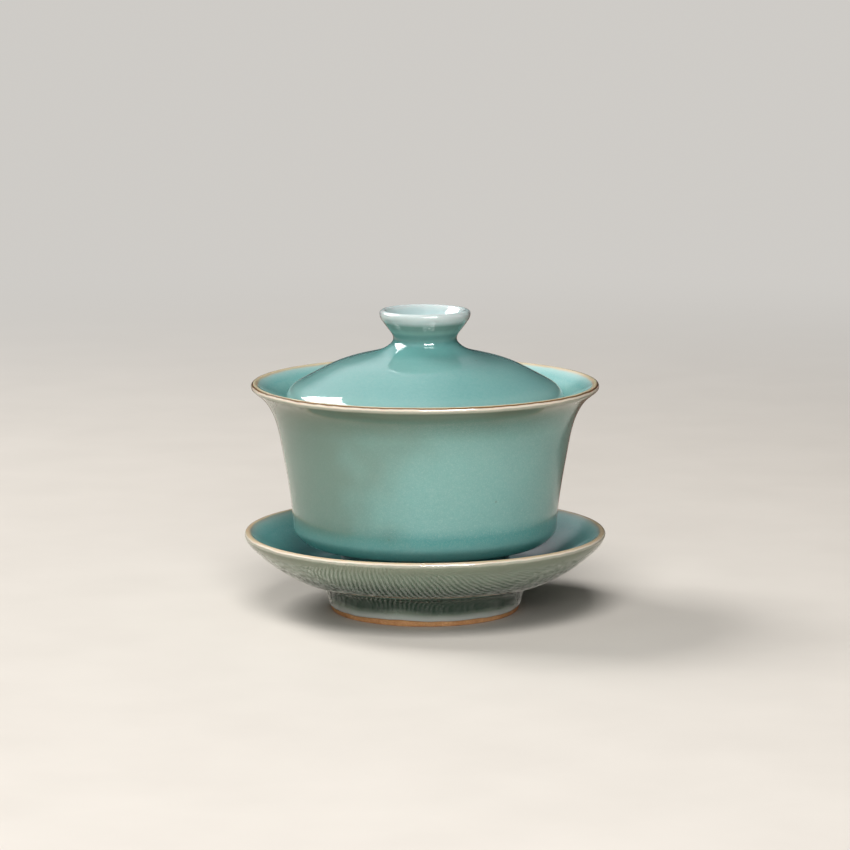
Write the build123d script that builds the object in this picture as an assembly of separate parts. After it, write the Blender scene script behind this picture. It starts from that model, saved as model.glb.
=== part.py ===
from build123d import *
from math import cos, radians, sin
import os

# A lidded tea bowl in three thrown and glazed pieces: saucer, bowl and lid.
# Every piece is turned about the vertical axis.  Millimetres, +Z up, and the
# foot of the saucer stands on z = 0 with the axis at x = y = 0.
# Section points are written (radius, height).

# ---- saucer ----
saucer_radius = 50.0          # outside of the lip
saucer_height = 22.2          # crest of the lip
saucer_lip_round = 1.0        # radius of the rolled lip
saucer_foot_radius = 26.2     # outside of the foot where it stands
saucer_foot_width = 3.0       # thickness of the foot at the table
saucer_foot_height = 4.6      # outside height, up to the fillet
saucer_foot_flare = 1.1       # the foot widens upwards by this much
saucer_recess = 6.4           # height of the hollow inside the foot
well_floor = 10.0             # floor the bowl stands on
well_radius = 24.6            # round well that keeps the bowl centred
well_depth = 0.9
well_slope = 0.9              # run of the well's sloping edge

# ---- bowl ----
bowl_radius = 48.0            # outside of the lip
bowl_height = 63.6            # crest of the lip above the table
bowl_lip_round = 1.0          # radius of the rolled lip
bowl_foot_radius = 23.4       # outside of the foot where it stands
bowl_foot_width = 2.8         # thickness of the foot at its standing face
bowl_foot_height = 16.8       # top of the foot's outer wall above the table
bowl_foot_flare = 0.3
bowl_recess = 16.6            # height of the hollow inside the foot
bowl_floor = 20.6             # inside floor at the middle
bowl_flat = 12.0              # radius of the level middle of the floor
belly_radius = 36.6           # outside, just above the rounded belly corner
belly_corner = 4.2            # size of that corner
belly_bottom = 19.2           # height where the corner runs into the underside

# ---- lid ----
lid_radius = 38.5             # outside of the skirt
lid_wall = 2.4                # skirt thickness
lid_bottom = 51.25            # lower edge of the skirt when the lid is on
lid_shoulder = 59.1           # height where the skirt turns into the dome
lid_ceiling = 69.2            # inside of the dome at the middle
lid_flat = 9.5                # radius of the level middle of the ceiling
knob_radius = 12.5            # outside of the knob rim
knob_top = 83.7               # crest of the knob rim above the table
knob_rim_round = 1.05         # radius of the knob's rolled rim
knob_foot = (14.7, 71.65)     # where the knob's fillet meets the dome
neck_radius = 8.77            # thinnest part of the knob
neck_height = 75.8
cup_floor = 76.2              # floor of the hollow in the knob
cup_flat = 1.5                # radius of its level middle

# ---- shared ----
seat_gap = 0.05               # air left between the bowl's foot and the well
arris_round = 0.5             # softened edges of the two standing feet
end_pull = 1.1                # how firmly a curve holds the slopes at its ends

# Slopes the curves start and end on, in degrees up from outwards.
up = 90.0
down = -90.0
outwards = 0.0
inwards = 180.0
saucer_lip_entry = 75.0       # underside where it runs into the lip
saucer_lip_exit = 230.0       # inside face where it leaves the lip
bowl_lip_entry = 36.0
bowl_lip_exit = 225.0
knob_rim_entry = 62.0
underside_slope = 8.0         # both undersides leave their feet almost level
dome_slope = -14.0            # dome where the knob's fillet ends


def heading(degrees):
    """Direction that climbs at the given angle from outwards."""
    return (cos(radians(degrees)), sin(radians(degrees)))


def curve(points, start, end):
    """Smooth curve through the points, leaving and arriving on two slopes."""
    return Spline(*points, tangents=[heading(start), heading(end)],
                  tangent_scalars=[end_pull, end_pull])


def round_point(centre, radius, slope, turn=1):
    """Point of a round where it runs at this slope, turn 1 being anticlockwise."""
    away = heading(slope - 90 * turn)
    return (centre[0] + radius * away[0], centre[1] + radius * away[1])


def foot_ring(outer, width, bottom, outer_top, inner_top):
    """Edges of a standing foot, from the hollow inside it to its outer wall."""
    inner = outer - width
    return [
        Line(inner_top, (inner, bottom + arris_round)),
        RadiusArc((inner, bottom + arris_round), (inner + arris_round, bottom), -arris_round),
        Line((inner + arris_round, bottom), (outer - arris_round, bottom)),
        RadiusArc((outer - arris_round, bottom), (outer, bottom + arris_round), -arris_round),
        Line((outer, bottom + arris_round), outer_top),
    ]


def turned(*outline):
    """One solid turned about Z from the edges of a closed half section."""
    section = make_face([Plane.XZ * edge for edge in outline])
    return revolve(section, Axis.Z)


def make_saucer():
    """Shallow dish: the underside leaves the foot almost level and steepens to the lip."""
    recess_edge = (saucer_foot_radius - saucer_foot_width - 0.7, saucer_recess)
    foot_top = (saucer_foot_radius + saucer_foot_flare, saucer_foot_height)
    fillet_end = (30.2, 8.1)
    lip_centre = (saucer_radius - saucer_lip_round, saucer_height - saucer_lip_round)
    lip_outside = round_point(lip_centre, saucer_lip_round, saucer_lip_entry)
    lip_crest = round_point(lip_centre, saucer_lip_round, inwards)
    lip_inside = round_point(lip_centre, saucer_lip_round, saucer_lip_exit)
    shelf_edge = (well_radius + well_slope, well_floor + well_depth)
    well_edge = (well_radius, well_floor)
    return turned(
        Line((0, saucer_recess), recess_edge),
        *foot_ring(saucer_foot_radius, saucer_foot_width, 0, foot_top, recess_edge),
        curve([foot_top, fillet_end], 76, underside_slope),
        curve([fillet_end, (36.0, 9.7), (43.0, 13.85), (48.4, 18.5), lip_outside],
              underside_slope, saucer_lip_entry),
        ThreePointArc(lip_outside, lip_crest, lip_inside),
        curve([lip_inside, (43.0, 17.5), (35.0, 12.75), shelf_edge], saucer_lip_exit, 186),
        curve([shelf_edge, well_edge], 188, 186),
        Line(well_edge, (0, well_floor)),
        Line((0, well_floor), (0, saucer_recess)),
    )


def make_bowl():
    """Foot in the well, level underside, tight belly corner, upright wall, trumpet lip."""
    bottom = well_floor + seat_gap
    recess_edge = (bowl_foot_radius - bowl_foot_width - 0.5, bowl_recess)
    foot_top = (bowl_foot_radius + bowl_foot_flare, bowl_foot_height)
    fillet_end = (25.6, 18.45)
    corner_start = (belly_radius - belly_corner, belly_bottom)
    corner_end = (belly_radius, belly_bottom + belly_corner)
    lip_centre = (bowl_radius - bowl_lip_round, bowl_height - bowl_lip_round)
    lip_outside = round_point(lip_centre, bowl_lip_round, bowl_lip_entry)
    lip_crest = round_point(lip_centre, bowl_lip_round, inwards)
    lip_inside = round_point(lip_centre, bowl_lip_round, bowl_lip_exit)
    wall_foot = (35.0, 33.0)
    floor_edge = (bowl_flat, bowl_floor)
    return turned(
        Line((0, bowl_recess), recess_edge),
        *foot_ring(bowl_foot_radius, bowl_foot_width, bottom, foot_top, recess_edge),
        curve([foot_top, fillet_end], 87, underside_slope),
        curve([fillet_end, (29.0, 18.88), corner_start], underside_slope, 5),
        curve([corner_start, (35.35, 20.95), corner_end], 5, 87),
        curve([corner_end, (37.5, 33.0), (39.5, 45.0), (41.6, 54.0), (43.3, 57.5), (45.3, 60.0),
               lip_outside], 87, bowl_lip_entry),
        ThreePointArc(lip_outside, lip_crest, lip_inside),
        curve([lip_inside, (42.8, 60.65), (39.35, 54.8), (37.0, 45.2), wall_foot],
              bowl_lip_exit, 261),
        curve([wall_foot, (34.4, 27.6), (32.6, 24.1), (28.2, 22.1), (20.5, 20.95), floor_edge],
              261, inwards),
        Line(floor_edge, (0, bowl_floor)),
        Line((0, bowl_floor), (0, bowl_recess)),
    )


def make_lid():
    """Dome with an upright skirt that drops inside the bowl, and a hollow trumpet knob."""
    skirt_inside = lid_radius - lid_wall
    skirt_round = lid_wall / 2
    skirt_end = lid_bottom + skirt_round
    ceiling_edge = (skirt_inside, lid_shoulder - 0.8)
    ceiling_middle = (lid_flat, lid_ceiling)
    cup_middle = (cup_flat, cup_floor)
    rim_centre = (knob_radius - knob_rim_round, knob_top - knob_rim_round)
    rim_inside = round_point(rim_centre, knob_rim_round, knob_rim_entry, turn=-1)
    rim_crest = round_point(rim_centre, knob_rim_round, outwards, turn=-1)
    rim_outside = round_point(rim_centre, knob_rim_round, down, turn=-1)
    neck = (neck_radius, neck_height)
    return turned(
        Line((skirt_inside, skirt_end), ceiling_edge),
        curve([ceiling_edge, (34.6, 61.1), (28.0, 64.8), (19.0, 67.9), ceiling_middle],
              up, inwards),
        Line(ceiling_middle, (0, lid_ceiling)),
        Line((0, lid_ceiling), (0, cup_floor)),
        Line((0, cup_floor), cup_middle),
        curve([cup_middle, (4.9, 77.25), (8.1, 80.0), rim_inside], outwards, knob_rim_entry),
        ThreePointArc(rim_inside, rim_crest, rim_outside),
        curve([rim_outside, (11.25, 79.9), (9.55, 77.65), neck], down, down),
        curve([neck, (10.05, 73.75), knob_foot], down, dome_slope),
        curve([knob_foot, (24.9, 68.75), (33.4, 64.5), (37.3, 62.0), (lid_radius, lid_shoulder)],
              dome_slope, down),
        Line((lid_radius, lid_shoulder), (lid_radius, skirt_end)),
        ThreePointArc((lid_radius, skirt_end), (lid_radius - skirt_round, lid_bottom),
                      (skirt_inside, skirt_end)),
    )


os.makedirs("parts", exist_ok=True)
pieces = {"saucer": make_saucer(), "bowl": make_bowl(), "lid": make_lid()}
for name, piece in pieces.items():
    export_step(piece, f"parts/{name}.step")
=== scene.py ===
import math

import bpy
import numpy as np
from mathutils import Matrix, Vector


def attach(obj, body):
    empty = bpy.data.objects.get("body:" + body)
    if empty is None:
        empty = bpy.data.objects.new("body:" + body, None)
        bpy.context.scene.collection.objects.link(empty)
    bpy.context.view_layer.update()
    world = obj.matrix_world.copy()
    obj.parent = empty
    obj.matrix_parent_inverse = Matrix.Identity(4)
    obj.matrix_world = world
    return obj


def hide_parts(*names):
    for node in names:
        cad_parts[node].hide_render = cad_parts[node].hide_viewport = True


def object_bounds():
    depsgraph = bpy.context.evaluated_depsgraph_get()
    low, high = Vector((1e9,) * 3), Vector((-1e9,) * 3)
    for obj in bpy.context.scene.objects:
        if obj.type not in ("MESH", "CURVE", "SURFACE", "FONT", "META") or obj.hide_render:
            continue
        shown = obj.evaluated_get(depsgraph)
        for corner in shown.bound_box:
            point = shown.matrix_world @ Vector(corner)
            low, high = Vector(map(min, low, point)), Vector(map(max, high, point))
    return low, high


# A lidded tea bowl on its saucer: three turned pieces in celadon glaze on a plain floor.
# The outline of each piece is read off its CAD node.  Added here are the raised edge of
# the glaze, the slight unevenness of the lips, the materials, the lights and the camera.

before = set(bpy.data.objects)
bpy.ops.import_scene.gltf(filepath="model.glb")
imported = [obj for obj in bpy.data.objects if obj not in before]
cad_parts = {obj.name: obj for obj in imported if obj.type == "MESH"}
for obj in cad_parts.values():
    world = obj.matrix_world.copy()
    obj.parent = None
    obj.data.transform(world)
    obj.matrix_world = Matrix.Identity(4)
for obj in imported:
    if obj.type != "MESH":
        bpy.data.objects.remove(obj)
cad_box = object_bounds()

MM = 0.001

# ---- turning ----
AROUND = 240                 # facets round each piece
STEP = 0.05                  # spacing of the finely sampled section, mm
ON_AXIS = 1e-3               # closer to the axis or the section plane than this is on it, mm
CRISP_BLUR = 0.12            # blur of the section where it turns tightly, mm
GENTLE_BLUR = 0.9            # and where it runs long and smooth, mm
ROW_GAP = (0.16, 1.15)       # narrowest and widest spacing of the rows of vertices, mm
EDGE_ROW_GAP = 0.14          # spacing of the rows beside the edge of the glaze, mm
EDGE_REACH = 0.9             # how far that close spacing goes to each side, mm
FOOT_TOP = 4.0               # bare clay is only looked for below this height, mm
LIP_REACH = 14.0             # how far from the crest the lip is uneven, mm


# ----------------------------------------------------------- turned pieces ---
def section_of(node):
    """The half section of a turned CAD node as (radius, height) points in mm.

    It starts on the axis, keeps the solid on its left and ends on the axis."""
    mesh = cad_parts[node].data
    near, place = {}, {}
    for v in mesh.vertices:
        x, y, z = (c / MM for c in v.co)
        if abs(y) < ON_AXIS and x > -ON_AXIS:
            place[v.index] = (round(x, 3), round(z, 3))
            near.setdefault(place[v.index], set())
    for e in mesh.edges:
        a, b = (place.get(i) for i in e.vertices)
        if a and b and a != b:
            near[a].add(b)
            near[b].add(a)
    ends = [k for k in near if len(near[k]) == 1 or k[0] < ON_AXIS]
    path = [min(ends, key=lambda k: k[1])]
    while True:
        onward = [k for k in near[path[-1]] if k not in path]
        if not onward:
            break
        path.append(onward[0])
    if path[0][0] > ON_AXIS:
        path.insert(0, (0.0, path[0][1]))
    if path[-1][0] > ON_AXIS:
        path.append((0.0, path[-1][1]))
    return np.array(path, float)


def fine_curve(path):
    """Centripetal Catmull-Rom curve through the points, sampled every STEP mm."""
    p = np.vstack([2 * path[0] - path[1], path, 2 * path[-1] - path[-2]])
    t = np.concatenate([[0], np.cumsum(np.sqrt(np.hypot(*np.diff(p, axis=0).T)))])
    out = []
    for i in range(1, len(p) - 2):
        a, b, c, d = p[i - 1:i + 3]
        ta, tb, tc, td = t[i - 1:i + 3]
        u = np.linspace(tb, tc, 2 + int(np.hypot(*(c - b)) / STEP), endpoint=False)[:, None]
        ab = (tb - u) / (tb - ta) * a + (u - ta) / (tb - ta) * b
        bc = (tc - u) / (tc - tb) * b + (u - tb) / (tc - tb) * c
        cd = (td - u) / (td - tc) * c + (u - tc) / (td - tc) * d
        abc = (tc - u) / (tc - ta) * ab + (u - ta) / (tc - ta) * bc
        bcd = (td - u) / (td - tb) * bc + (u - tb) / (td - tb) * cd
        out.append((tc - u) / (tc - tb) * abc + (u - tb) / (tc - tb) * bcd)
    return even(np.vstack(out + [path[-1:]]))


def even(path):
    """The same curve at even spacing STEP."""
    s = np.concatenate([[0], np.cumsum(np.hypot(*np.diff(path, axis=0).T))])
    u = np.linspace(0, s[-1], int(s[-1] / STEP))
    return np.column_stack([np.interp(u, s, path[:, 0]), np.interp(u, s, path[:, 1])])


def blurred(values, sigma, mirror):
    """Gaussian blur along the section; mirror is -1 for a value that is odd across the axis."""
    k = int(3 * sigma / STEP)
    w = np.exp(-0.5 * (np.arange(-k, k + 1) * STEP / sigma) ** 2)
    head = mirror * values[1:k + 1][::-1]
    tail = mirror * values[-k - 1:-1][::-1]
    return np.convolve(np.concatenate([head, values, tail]), w / w.sum(), "valid")


def blurred_path(path, sigma):
    return np.column_stack([blurred(path[:, 0], sigma, -1), blurred(path[:, 1], sigma, 1)])


def bend_of(path):
    """Signed curvature in 1/mm, positive where the outline bulges."""
    d = np.gradient(path, STEP, axis=0)
    angle = np.unwrap(np.arctan2(d[:, 1], d[:, 0]))
    return np.gradient(angle, STEP)


def wave(angle, *terms):
    """Sum of (times round, height, phase) sine waves round the piece."""
    return sum(h * np.sin(n * angle + phase) for n, h, phase in terms)


def ease(x):
    """Smooth step from 0 to 1."""
    x = np.clip(x, 0, 1)
    return x * x * (3 - 2 * x)


def smooth_section(node):
    """The section as a smooth fine curve that still turns tightly at its rounds."""
    raw = fine_curve(section_of(node))
    bend = bend_of(blurred_path(raw, 0.3))
    tight = ease((np.abs(blurred(np.abs(bend), 0.8, 1)) - 0.03) / 0.07)[:, None]
    path = blurred_path(raw, CRISP_BLUR) * tight + blurred_path(raw, GENTLE_BLUR) * (1 - tight)
    path[0, 0] = path[-1, 0] = 0
    return path


def row_places(s, bend, above, bare_height):
    """Places of the rows along the section: close at tight rounds and at the glaze edge."""
    gap = np.clip(0.15 / np.maximum(blurred(np.abs(bend), 0.5, 1), 1e-3), *ROW_GAP)
    beside_edge = np.abs(above - bare_height) < EDGE_REACH
    gap = np.where(beside_edge, np.minimum(gap, EDGE_ROW_GAP), gap)
    rows = np.concatenate([[0], np.cumsum(STEP / gap)])[:-1]
    return np.interp(np.linspace(0, rows[-1], int(rows[-1])), rows, s)


def ring_faces(n):
    """Faces over n rings of vertices, closed by one vertex at each end of the axis."""
    i, j = np.meshgrid(np.arange(n - 1), np.arange(AROUND), indexing="ij")
    k = (j + 1) % AROUND
    low, high = i * AROUND, (i + 1) * AROUND
    faces = np.stack([low + j, low + k, high + k, high + j], -1).reshape(-1, 4).tolist()
    turn = [(q, (q + 1) % AROUND) for q in range(AROUND)]
    last = (n - 1) * AROUND
    faces += [(n * AROUND, b, a) for a, b in turn]
    faces += [(n * AROUND + 1, last + a, last + b) for a, b in turn]
    return faces


def turned_piece(node, bare_height, glaze_step, uneven):
    """A finely turned copy of a CAD node with a raised, wandering glaze edge.

    bare_height is how far the unglazed clay reaches above the lowest edge, mm.
    glaze_step is how far the glaze stands proud of that clay, mm.
    uneven is how far the lip strays from a true circle, mm.

    The mesh carries three values in its vertices, all read by the glaze:
    lip, the distance along the section from the topmost point, mm, negative outside;
    bare, how far below the edge of the glaze, mm, negative above it;
    pool, -1 to 1, how much the outline bulges out or hollows in."""
    path = smooth_section(node)
    bend = bend_of(blurred_path(path, 0.3))
    pool = -np.tanh(3.0 * blurred(bend, 1.4, 1))
    s = np.arange(len(path)) * STEP
    above = path[:, 1] - path[:, 1].min()
    peak = s[int(np.argmax(path[:, 1]))]

    at = row_places(s, bend, above, bare_height)
    r = np.interp(at, s, path[:, 0])
    z = np.interp(at, s, path[:, 1])
    out_r = np.interp(at, s, np.gradient(path, STEP, axis=0)[:, 1])
    height = np.interp(at, s, above)[:, None]

    # the glaze ends in a soft step with a slight bead along it
    angle = np.linspace(0, 2 * math.pi, AROUND, endpoint=False)
    edge_wave = wave(angle, (3, 0.16, 1.0), (7, 0.10, 2.2), (17, 0.05, 0.4), (29, 0.03, 5.0))
    over = height - (bare_height + edge_wave)[None, :]
    bead = 0.5 * glaze_step * np.exp(-((over - 0.32) / 0.26) ** 2)
    sink = glaze_step * (ease(over / 0.30) - 1) + bead
    sink = np.where(height < FOOT_TOP, sink, 0.0)

    # the lip is not quite round or level
    near_lip = ease(1 - np.abs(at - peak) / LIP_REACH)[:, None]
    oval = wave(angle, (2, uneven, 0.7), (3, 0.4 * uneven, 2.0), (5, 0.2 * uneven, 4.1))
    tilt = wave(angle, (2, 0.5 * uneven, 3.3), (4, 0.25 * uneven, 1.1))
    shift = sink * out_r[:, None] + near_lip * oval[None, :]
    radius = np.maximum(r[:, None] + np.where(r[:, None] > 1, shift, 0), 0)
    tall = z[:, None] + near_lip * tilt[None, :]

    ring = np.stack([radius * np.cos(angle), radius * np.sin(angle), tall], -1)[1:-1]
    verts = np.vstack([ring.reshape(-1, 3), [[0, 0, z[0]], [0, 0, z[-1]]]]) * MM
    mesh = bpy.data.meshes.new(node + "_skin")
    mesh.from_pydata(verts.tolist(), [], ring_faces(ring.shape[0]))
    mesh.shade_smooth()
    across = np.ones(AROUND)
    masks = {
        "lip": np.outer((at - peak)[1:-1], across),
        "bare": -over[1:-1],
        "pool": np.outer(np.interp(at, s, pool)[1:-1], across),
    }
    for name, grid in masks.items():
        layer = mesh.attributes.new(name, "FLOAT", "POINT")
        ends = [grid[0, 0], grid[-1, 0]]
        layer.data.foreach_set("value", np.concatenate([grid.ravel(), ends]).astype(np.float32))
    piece = bpy.data.objects.new(node + "_glazed", mesh)
    bpy.context.scene.collection.objects.link(piece)
    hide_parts(node)
    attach(piece, node)
    return piece


# --------------------------------------------------------------- materials ---
def linear(*rgb):
    """Display colour 0 to 255 to the linear colour a shader takes."""
    def one(c):
        c /= 255
        return c / 12.92 if c <= 0.04045 else ((c + 0.055) / 1.055) ** 2.4
    return (*[one(c) for c in rgb], 1.0)


class Shader:
    """A few short calls to lay out the nodes of a material or of the world."""

    def __init__(self, owner):
        owner.use_nodes = True
        self.tree = owner.node_tree
        self.tree.nodes.clear()

    def node(self, kind, **inputs):
        """A node with its inputs set by name; an underscore stands for a space."""
        n = self.tree.nodes.new("ShaderNode" + kind)
        for key, value in inputs.items():
            self.put(n.inputs[key.replace("_", " ")], value)
        return n

    def put(self, socket, value):
        if isinstance(value, bpy.types.NodeSocket):
            self.tree.links.new(value, socket)
        else:
            socket.default_value = value

    def math(self, how, a, b=0.0, c=0.0):
        n = self.node("Math")
        n.operation = how
        for socket, value in zip(n.inputs, (a, b, c)):
            self.put(socket, value)
        return n.outputs[0]

    def product(self, a, b):
        return self.math("MULTIPLY", a, b)

    def scaled(self, x, by, plus):
        """x times by, plus a value."""
        return self.math("MULTIPLY_ADD", x, by, plus)

    def centred(self, x):
        """A noise of 0 to 1 moved to -0.5 to 0.5."""
        return self.math("SUBTRACT", x, 0.5)

    def remap(self, x, lo, hi, to_lo=0.0, to_hi=1.0, smooth=True):
        n = self.node("MapRange")
        n.interpolation_type = "SMOOTHSTEP" if smooth else "LINEAR"
        values = {"Value": x, "From Min": lo, "From Max": hi, "To Min": to_lo, "To Max": to_hi}
        for key, value in values.items():
            self.put(n.inputs[key], value)
        return n.outputs[0]

    def mix(self, how_much, a, b):
        """Colour a with so much of colour b."""
        n = self.node("Mix")
        n.data_type = "RGBA"
        self.put(n.inputs[0], how_much)
        self.put(n.inputs[6], a)
        self.put(n.inputs[7], b)
        return n.outputs[2]

    def ramp(self, x, stops):
        """Colour ramp; the stops are (place, colour) with the first and last one given first."""
        n = self.node("ValToRGB")
        e = n.color_ramp.elements
        for i, (place, colour) in enumerate(stops):
            stop = e[i] if i < 2 else e.new(place)
            stop.position = place
            stop.color = colour
        self.put(n.inputs[0], x)
        return n.outputs[0]

    def banded(self, distance, under, stops, reach):
        """Lay (distance, colour, cover) bands over a colour.

        reach is the largest distance a stop may have.  Beyond the first and the last stop
        their colours and covers go on."""
        place = self.remap(distance, -reach, reach, smooth=False)
        stops = sorted(stops)
        order = [stops[0], stops[-1]] + stops[1:-1]
        band = self.ramp(place, [(0.5 + 0.5 * d / reach, c) for d, c, _ in order])
        grey = [(0.5 + 0.5 * d / reach, (k, k, k, 1.0)) for d, _, k in order]
        return self.mix(self.ramp(place, grey), under, band)

    def noise(self, where, scale, detail=2.0, rough=0.5):
        n = self.node("TexNoise", Vector=where, Scale=scale, Detail=detail, Roughness=rough)
        return n.outputs["Fac"]

    def attribute(self, name):
        n = self.node("Attribute")
        n.attribute_name = name
        return n.outputs["Fac"]

    def axis(self, vector, letter):
        return self.node("SeparateXYZ", Vector=vector).outputs[letter]

    def finish(self, surface):
        out = self.node("OutputMaterial")
        self.tree.links.new(surface, out.inputs["Surface"])


LIP_BANDS = 8.0              # reach of the bands at a lip, mm
WALL_BANDS = 60.0            # reach of the tint of the walls, mm

# body of the glaze by thickness, 0 thin to 1 pooled
BODY = [
    (0.00, linear(192, 204, 192)),
    (1.00, linear(48, 114, 110)),
    (0.22, linear(148, 187, 181)),
    (0.50, linear(110, 171, 168)),
    (0.78, linear(72, 146, 143)),
]
DRIFT = linear(118, 174, 168)
BUBBLE = linear(190, 214, 206)
SPECK = linear(92, 86, 62)
# painted shade: the grey the outside of the bowl takes towards -X
SHADED_SIDE_TINT = linear(108, 122, 104)
CLAY = [(0.30, linear(208, 148, 98)), (0.72, linear(255, 206, 152))]
CLAY_STAIN = linear(190, 124, 72)
CLAY_EDGE = linear(126, 78, 46)
THIN_EDGE = linear(204, 210, 206)


def glaze(name, lip_stops, wall_stops, milky, shaded_side=0.0):
    """Celadon over stoneware: pale where it runs thin, deep where it pools, bare at the foot.

    Both lists of stops are (distance from the crest in mm, colour, cover), negative outside:
    wall_stops tint the whole height, partly with painted shade and painted reflection, and lip_stops
    lay the fine bands at the lip over that.
    milky is how strongly fine bubbles whiten the glaze.
    The last argument is how far a painted shade greys the outside towards -X, one side darker than the
    other."""
    mat = bpy.data.materials.new(name)
    m = Shader(mat)
    where = m.node("TexCoord").outputs["Object"]
    lip, bare, pool = (m.attribute(a) for a in ("lip", "bare", "pool"))

    # noises from coarse to fine
    drift = m.noise(where, 28, 2)
    slow = m.centred(m.noise(where, 45, 2))
    cloud = m.noise(where, 130, 3)
    haze = m.noise(where, 900, 2, 0.6)
    grit = m.noise(where, 1900, 2, 0.6)
    bubble = m.noise(where, 3200, 1, 0.6)

    thick = m.scaled(pool, 0.42, 0.5)
    for texture, strength in ((cloud, 0.14), (haze, 0.20), (grit, 0.16)):
        thick = m.scaled(m.centred(texture), strength, thick)
    body = m.ramp(thick, BODY)
    body = m.mix(m.remap(drift, 0.35, 0.65, 0.0, 0.22), body, DRIFT)
    body = m.mix(m.remap(bubble, 0.45, 0.75, 0.0, milky), body, BUBBLE)

    # a few iron specks under the glaze
    cell = m.node("TexVoronoi", Vector=where, Scale=210)
    lot = m.node("SeparateColor", Color=cell.outputs["Color"]).outputs[0]
    speck = m.product(m.remap(lot, 0.90, 0.92), m.remap(cell.outputs["Distance"], 0.05, 0.11, 1.0, 0.0))
    body = m.mix(m.product(speck, 0.35), body, SPECK)

    # tint of the walls, much of it painted shade and painted reflection as the lists of stops say; then
    # a painted shade greying the outside towards -X, one side darker than the other
    colour = m.banded(m.scaled(slow, 5.0, lip), body, wall_stops, WALL_BANDS)
    if shaded_side:
        across = m.scaled(slow, 0.05, m.axis(where, "X"))
        outside = m.product(m.remap(across, 0.004, -0.030), m.remap(lip, -0.2, -1.5))
        side_shade_cover = m.product(outside, m.remap(lip, -45.5, -39.5))
        colour = m.mix(m.product(side_shade_cover, shaded_side), colour, SHADED_SIDE_TINT)

    # bands at the lip, where the glaze is thin over the clay
    wander = m.product(m.centred(m.noise(where, 220, 2)), 0.5)
    colour = m.banded(m.math("ADD", lip, wander), colour, lip_stops, LIP_BANDS)

    # bare clay, darker along the edge of the glaze, and the glaze pale just above it
    grain = m.noise(where, 2600, 3, 0.7)
    stain = m.noise(where, 240, 2)
    clay = m.mix(m.remap(stain, 0.3, 0.7, 0.0, 0.45), m.ramp(grain, CLAY), CLAY_STAIN)
    clay = m.mix(m.remap(bare, 0.0, 0.40, 0.55, 0.0), clay, CLAY_EDGE)
    is_clay = m.remap(bare, -0.06, 0.06)
    colour = m.mix(m.remap(bare, -2.2, -0.4, 0.0, 0.85), colour, THIN_EDGE)
    colour = m.mix(is_clay, colour, clay)

    # gloss on the glaze, a dry grain on the clay
    peel = m.noise(where, 380, 2)
    height = m.product(peel, 0.010 * MM)
    height = m.scaled(haze, 0.0012 * MM, height)
    height = m.scaled(speck, -0.012 * MM, height)
    height = m.scaled(m.product(grain, is_clay), 0.09 * MM, height)
    bump = m.node("Bump", Height=height, Distance=1.0, Strength=1.0)
    surface = m.node(
        "BsdfPrincipled",
        Base_Color=colour,
        Roughness=m.scaled(is_clay, 0.75, m.scaled(haze, 0.05, 0.045)),
        IOR=1.52,
        Specular_IOR_Level=m.scaled(is_clay, -0.45, 0.5),
        Normal=bump.outputs[0],
        Subsurface_Weight=m.scaled(is_clay, -0.18, 0.18),
        Subsurface_Radius=(0.5, 1.0, 0.9),
        Subsurface_Scale=1.2 * MM,
    )
    m.finish(surface.outputs[0])
    return mat


CREAM = linear(224, 212, 194)
STRAW = linear(204, 192, 160)
TAN = linear(200, 178, 146)
UMBER = linear(114, 82, 48)
SAND = linear(172, 172, 156)
# grey-green under the lips of the bowl and the saucer: partly thin glaze, partly painted shade
SAGE = linear(116, 126, 108)
MOSS = linear(124, 131, 111)
# painted shade in dark olive under the saucer
UNDERSIDE_SHADE = linear(60, 68, 53)
# pale grey-green on the saucer's foot: partly thin glaze, partly painted light
FOOT_GLAZE_AND_LIGHT = linear(160, 166, 146)
PALE = linear(172, 198, 196)
WASH = linear(150, 182, 172)
# deep teal: painted shade and painted reflection of the saucer on the bowl's belly; inside the bowl it
# deepens the tone further down
DEEP = linear(62, 128, 124)
# painted shade in teal on the lid's neck under the knob
NECK_SHADE = linear(30, 138, 136)
# painted shade in dark teal on the bowl's belly and inside the saucer round the bowl
SHADE_TEAL = linear(36, 92, 92)
# painted shadow in near-black teal over the bowl's underside, above the saucer
GAP_SHADOW = linear(26, 66, 64)
MILK = linear(194, 204, 202)
CUP = linear(172, 192, 192)
# grey-green on the knob's flare: partly thin glaze, partly painted shade
SMOKE = linear(112, 142, 132)
MIST = linear(114, 150, 145)

lip_of_bowl = [
    (-6.0, SAGE, 0.0), (-2.6, SAGE, 0.6), (-2.1, SAND, 0.8), (-1.6, SAND, 1.0),
    (-1.45, CREAM, 1.0), (-1.05, CREAM, 1.0), (-0.92, UMBER, 1.0), (-0.55, UMBER, 1.0),
    (-0.35, STRAW, 1.0), (0.1, STRAW, 1.0), (0.4, TAN, 1.0), (0.9, TAN, 0.8),
    (1.5, PALE, 0.4), (4.0, PALE, 0.0),
]
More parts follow.
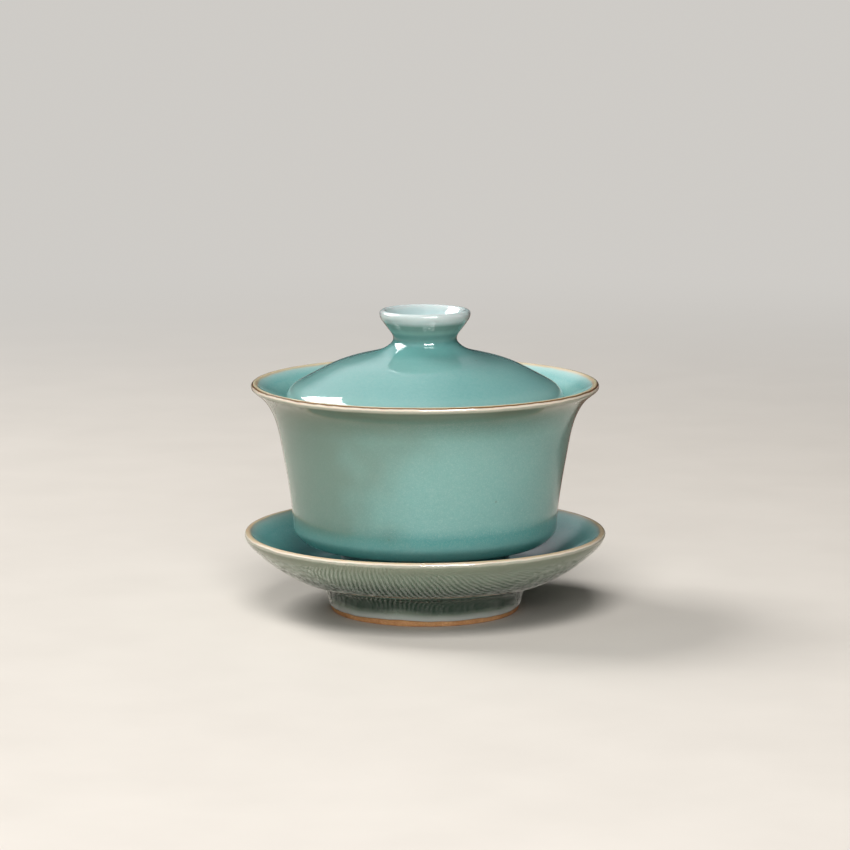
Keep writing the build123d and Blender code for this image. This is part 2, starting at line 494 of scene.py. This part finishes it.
# outside, down from the crest: grey-green under the lip, partly thin glaze and partly painted shade; a
# pale wash; deep teal on the belly as painted shade and painted reflection of the saucer, turning to a
# near-black painted shadow over the underside. Inside: deep teal growing further down
wall_of_bowl = [
    (-60.0, GAP_SHADOW, 0.9), (-53.0, SHADE_TEAL, 0.5), (-49.0, DEEP, 0.45), (-40.5, DEEP, 0.3),
    (-37.5, WASH, 0.3), (-20.0, WASH, 0.4), (-14.0, WASH, 0.45), (-9.0, SAGE, 0.5),
    (-5.0, SAGE, 0.85), (-3.0, SAGE, 1.0), (0.0, SAGE, 1.0), (0.5, PALE, 0.1),
    (3.0, DEEP, 0.1), (10.0, DEEP, 0.3), (30.0, DEEP, 0.4),
]
lip_of_saucer = [
    (-5.0, MOSS, 0.0), (-2.1, MOSS, 0.6), (-1.65, SAND, 0.95), (-1.25, SAND, 1.0),
    (-1.1, CREAM, 1.0), (-0.85, CREAM, 1.0), (-0.65, TAN, 1.0), (0.4, TAN, 1.0),
    (0.8, SAND, 0.8), (1.8, PALE, 0.3), (5.0, PALE, 0.0),
]
# outside, down from the crest: grey-green near the lip, partly thin glaze and partly painted shade; a
# painted shade in dark olive under the saucer; pale grey-green on the foot, partly thin glaze and
# partly painted light. Inside: a painted shade in dark teal, full from 15 mm in, round the bowl
wall_of_saucer = [
    (-60.0, FOOT_GLAZE_AND_LIGHT, 0.8), (-33.5, FOOT_GLAZE_AND_LIGHT, 0.8), (-31.0, UNDERSIDE_SHADE, 0.9), (-15.0, UNDERSIDE_SHADE, 0.9),
    (-7.0, MOSS, 0.85), (0.0, MOSS, 0.9), (0.6, PALE, 0.1), (2.5, SHADE_TEAL, 0.05),
    (8.0, SHADE_TEAL, 0.4), (15.0, SHADE_TEAL, 0.9), (60.0, SHADE_TEAL, 0.9),
]
# round the knob's rim: grey-green on the flare below it, partly thin glaze and partly painted shade;
# milky white at the rim; pale inside the cup
rim_of_knob = [
    (-8.0, MIST, 0.54), (-7.0, WASH, 0.5), (-5.6, SMOKE, 0.65), (-4.4, SMOKE, 0.8),
    (-3.2, MILK, 0.9), (0.0, MILK, 1.0), (1.2, MILK, 0.95), (2.4, CUP, 0.85), (8.0, CUP, 0.8),
]
# a painted shade in teal on the neck under the knob, grey-green on the flare partly painted shade,
# milky white at the rim, pale inside the cup
wall_of_lid = [
    (-60.0, NECK_SHADE, 0.0), (-18.0, NECK_SHADE, 0.0), (-14.5, NECK_SHADE, 0.5), (-10.0, NECK_SHADE, 0.5),
    (-8.0, SMOKE, 0.4), (0.0, MILK, 0.9), (8.0, CUP, 0.8), (20.0, CUP, 0.7),
]

pieces = {
    "saucer": turned_piece("saucer", bare_height=1.55, glaze_step=0.14, uneven=0.12),
    "bowl": turned_piece("bowl", bare_height=1.4, glaze_step=0.12, uneven=0.08),
    "lid": turned_piece("lid", bare_height=0.8, glaze_step=0.06, uneven=0.05),
}
finish = {
    "saucer": glaze("celadon_saucer", lip_of_saucer, wall_of_saucer, milky=0.15),
    "bowl": glaze("celadon_bowl", lip_of_bowl, wall_of_bowl, milky=0.25, shaded_side=0.62),
    "lid": glaze("celadon_lid", rim_of_knob, wall_of_lid, milky=0.08),
}
for part, piece in pieces.items():
    piece.data.materials.append(finish[part])


# ------------------------------------------------------------------- stage ---
BACKDROP = (0.62, 0.60, 0.57, 1.0)
FLOOR_RADIUS = 6.0
FLOOR_DROP = 0.02            # how far the floor lies below the foot, mm
STRIPE = 1.75                # spacing of the stripes that the glaze mirrors, mm
STRIPE_ACROSS = (0.94, -0.34)    # direction across the stripes
MIRROR_GLOW = 0.40           # how brightly the mirrored floor glows


def floor_look():
    """A plain pale floor that fades into the backdrop far off.

    The glaze mirrors something else in its place: close by a pale floor with fine uneven
    stripes, behind it a brown table and then the dark of the room."""
    mat = bpy.data.materials.new("pale_floor")
    m = Shader(mat)
    where = m.node("TexCoord").outputs["Object"]
    x, y = (m.axis(where, letter) for letter in "XY")
    mirrored = m.node("LightPath").outputs["Is Glossy Ray"]

    # the stripes fade where the floor is mirrored at a flat angle
    sway = m.product(m.noise(where, 70, 3), 9.0)
    along = m.scaled(x, STRIPE_ACROSS[0], m.product(y, STRIPE_ACROSS[1]))
    stripe = m.math("SINE", m.scaled(along, 2 * math.pi / (STRIPE * MM), sway))
    steep = m.axis(m.node("NewGeometry").outputs["Incoming"], "Z")
    stripe = m.product(stripe, m.remap(steep, 0.60, 0.86, 0.02, 0.26))
    weave = m.remap(m.math("ADD", stripe, m.noise(where, 420, 3, 0.7)), 0.32, 0.66)

    behind = m.scaled(x, 0.69, y)
    table = m.remap(behind, 0.17, 0.215)
    room = m.remap(behind, 0.7, 0.9)
    plain = [(0.3, linear(215, 208, 199)), (0.7, linear(219, 212, 203))]
    shade = m.ramp(m.noise(where, 30, 3), plain)
    shade = m.mix(mirrored, shade, m.mix(weave, linear(92, 80, 66), linear(236, 228, 216)))
    shade = m.mix(m.product(mirrored, table), shade, linear(112, 88, 76))
    shade = m.mix(m.product(mirrored, room), shade, linear(20, 20, 24))

    # close by the mirrored floor also glows, dimmer to the right as a painted shade
    near = m.product(m.math("SUBTRACT", 1.0, table), mirrored)
    near = m.product(near, m.remap(x, 0.04, 0.16, 1.0, 0.4))
    surface = m.node(
        "BsdfPrincipled",
        Base_Color=shade,
        Roughness=0.9,
        Emission_Color=(1.0, 0.94, 0.84, 1.0),
        Emission_Strength=m.product(m.product(near, weave), MIRROR_GLOW),
    )

    # far off the camera sees the backdrop
    reach = m.node("VectorMath")
    reach.operation = "LENGTH"
    m.put(reach.inputs[0], where)
    far = m.remap(reach.outputs["Value"], 0.20, 0.80)
    blend = m.node("MixShader")
    m.put(blend.inputs[0], m.product(m.node("LightPath").outputs["Is Camera Ray"], far))
    m.put(blend.inputs[1], surface.outputs[0])
    m.put(blend.inputs[2], m.node("Emission", Color=BACKDROP).outputs[0])
    m.finish(blend.outputs[0])
    return mat


def floor_disc():
    """A round floor, level with the foot."""
    spokes = 96
    verts = [(0, 0, 0)]
    verts += [(FLOOR_RADIUS * math.cos(a), FLOOR_RADIUS * math.sin(a), 0)
              for a in np.linspace(0, 2 * math.pi, spokes, endpoint=False)]
    faces = [(0, 1 + i, 1 + (i + 1) % spokes) for i in range(spokes)]
    mesh = bpy.data.meshes.new("floor")
    mesh.from_pydata(verts, [], faces)
    mesh.materials.append(floor_look())
    floor = bpy.data.objects.new("floor", mesh)
    floor.location.z = cad_box[0].z - FLOOR_DROP * MM
    bpy.context.scene.collection.objects.link(floor)


def softbox(name, direction, distance, size, power, mirrored_by=None):
    """A rectangular light facing the object from a direction, its width level.

    With mirrored_by it is a window that only those pieces mirror and that lights nothing.
    Without, it lights everything and is not mirrored."""
    light = bpy.data.lights.new(name, "AREA")
    light.shape = "RECTANGLE"
    light.size, light.size_y = size
    light.energy = power
    lamp = bpy.data.objects.new(name, light)
    way = Vector(direction).normalized()
    lamp.location = Vector((0, 0, 0.045)) + way * distance
    lamp.rotation_mode = "QUATERNION"
    lamp.rotation_quaternion = (-way).to_track_quat("-Z", "Y")
    lamp.visible_glossy = bool(mirrored_by)
    lamp.visible_diffuse = not mirrored_by
    if mirrored_by:
        receivers = bpy.data.collections.new(name + "_mirrors")
        for piece in mirrored_by:
            receivers.objects.link(piece)
        lamp.light_linking.receiver_collection = receivers
    bpy.context.scene.collection.objects.link(lamp)


floor_disc()
softbox("window", (-0.71, 0.35, 0.61), 0.95, (0.62, 0.50), 20.0, [pieces["lid"]])
softbox("front_window", (0.225, -0.78, 0.588), 0.9, (0.50, 0.26), 18.0, list(pieces.values()))
softbox("side", (-0.579, 0.335, 0.743), 1.2, (0.55, 0.55), 10.8)
softbox("front", (-0.04, -0.60, 0.80), 1.2, (0.55, 0.55), 10.6)
softbox("low_front", (0.0, -0.927, 0.375), 1.2, (0.70, 0.50), 5.4)


def grey(value):
    return (value, value, value, 1.0)


# What the glaze mirrors of the room: a dim wall at the left, a ceiling that is pale at the
# left and dim at the right, and the dark.  The camera sees the plain backdrop.
world = bpy.data.worlds.new("studio")
bpy.context.scene.world = world
w = Shader(world)
rays = w.node("LightPath")
way = w.node("SeparateXYZ", Vector=w.node("TexCoord").outputs["Generated"])
wall = w.product(w.remap(way.outputs["X"], -0.05, -0.35), w.remap(way.outputs["Z"], 0.02, 0.12))
ceiling = w.remap(way.outputs["Z"], 0.28, 0.50)
left = w.remap(way.outputs["X"], 0.20, -0.08)
mirror = w.mix(wall, (0.030, 0.030, 0.033, 1.0), grey(0.10))
overhead = w.mix(left, (0.12, 0.13, 0.14, 1.0), (1.02, 1.08, 1.12, 1.0))
mirror = w.mix(ceiling, mirror, overhead)
view = w.mix(rays.outputs["Is Glossy Ray"], grey(0.02), mirror)
view = w.mix(rays.outputs["Is Camera Ray"], view, BACKDROP)
glow = w.node("Background", Color=view)
w.put(w.node("OutputWorld").inputs["Surface"], glow.outputs[0])

# ------------------------------------------------------------------ camera ---
CAMERA_PLACE = (0, -1.025, 0.216)
CAMERA_DOWN = 9.12           # how far it looks down, degrees

lens = bpy.data.cameras.new("camera")
lens.sensor_width = 36.0
lens.lens = 158.9
lens.clip_start = 0.05
camera = bpy.data.objects.new("camera", lens)
camera.location = CAMERA_PLACE
camera.rotation_euler = (math.radians(90 - CAMERA_DOWN), 0, 0)
bpy.context.scene.collection.objects.link(camera)
bpy.context.scene.camera = camera
bpy.context.scene.view_settings.view_transform = "Standard"
